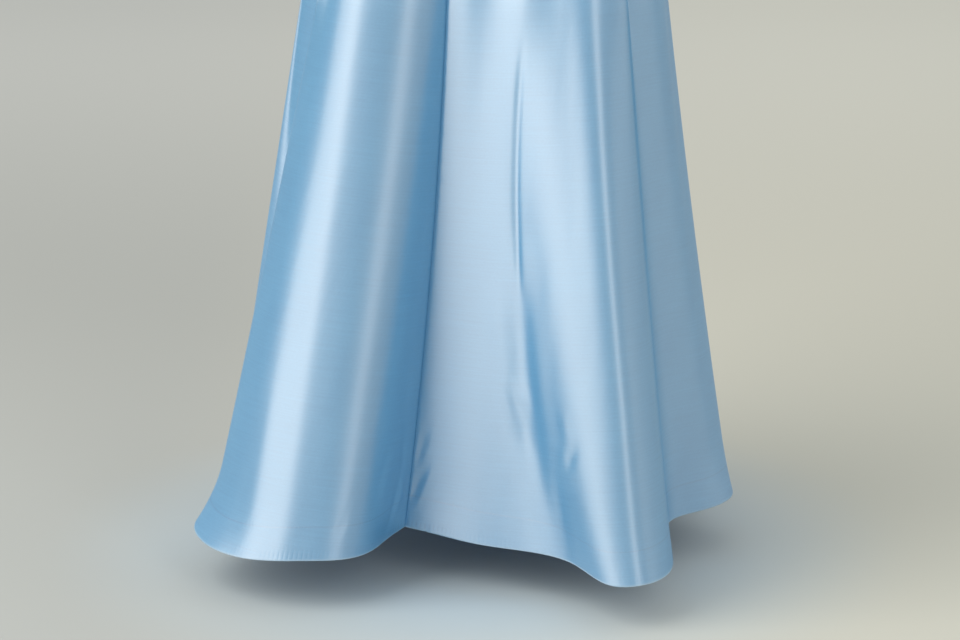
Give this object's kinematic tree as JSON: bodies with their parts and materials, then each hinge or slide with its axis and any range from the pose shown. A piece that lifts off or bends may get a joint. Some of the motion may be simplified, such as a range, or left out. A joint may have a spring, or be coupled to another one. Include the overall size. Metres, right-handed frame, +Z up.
{
  "type": "party dress",
  "caption": "Floor-length satin evening dress with a fitted sweetheart bodice, narrow straps and a skirt falling in deep folds.",
  "frame": {"origin": "midway between the two shoulder straps, at the height of their underside on the shoulder, where the dress is held up", "axes": "+Z up, +Y the way the dress faces, +X towards the dress's own right side"},
  "size_m": [0.6264, 0.5981, 1.3508],
  "materials": {
    "satin": "pale blue satin, smooth lustre",
    "strap_satin": "pale blue satin, folded ribbon",
    "zip_tape": "blue knitted tape, matt",
    "coated_metal": "blue enamelled, soft gloss"
  },
  "bodies": {
    "gown": {"skirt_front": "satin", "skirt_back_left": "satin", "skirt_back_right": "satin", "bodice_front": "satin", "bodice_back_left": "satin", "bodice_back_right": "satin", "strap_left": "strap_satin", "strap_right": "strap_satin", "zip_tape_left": "zip_tape", "zip_tape_right": "zip_tape", "zip_slider": "coated_metal"},
    "pull": {"zip_pull": "coated_metal"}
  },
  "joints": [
    {"name": "pull_swing", "type": "hinge", "parent": "gown", "child": "pull", "pos_m": [0, -0.09739, -0.198], "axis": [1, 0, 0], "range_deg": [-150, 6]}
  ]
}
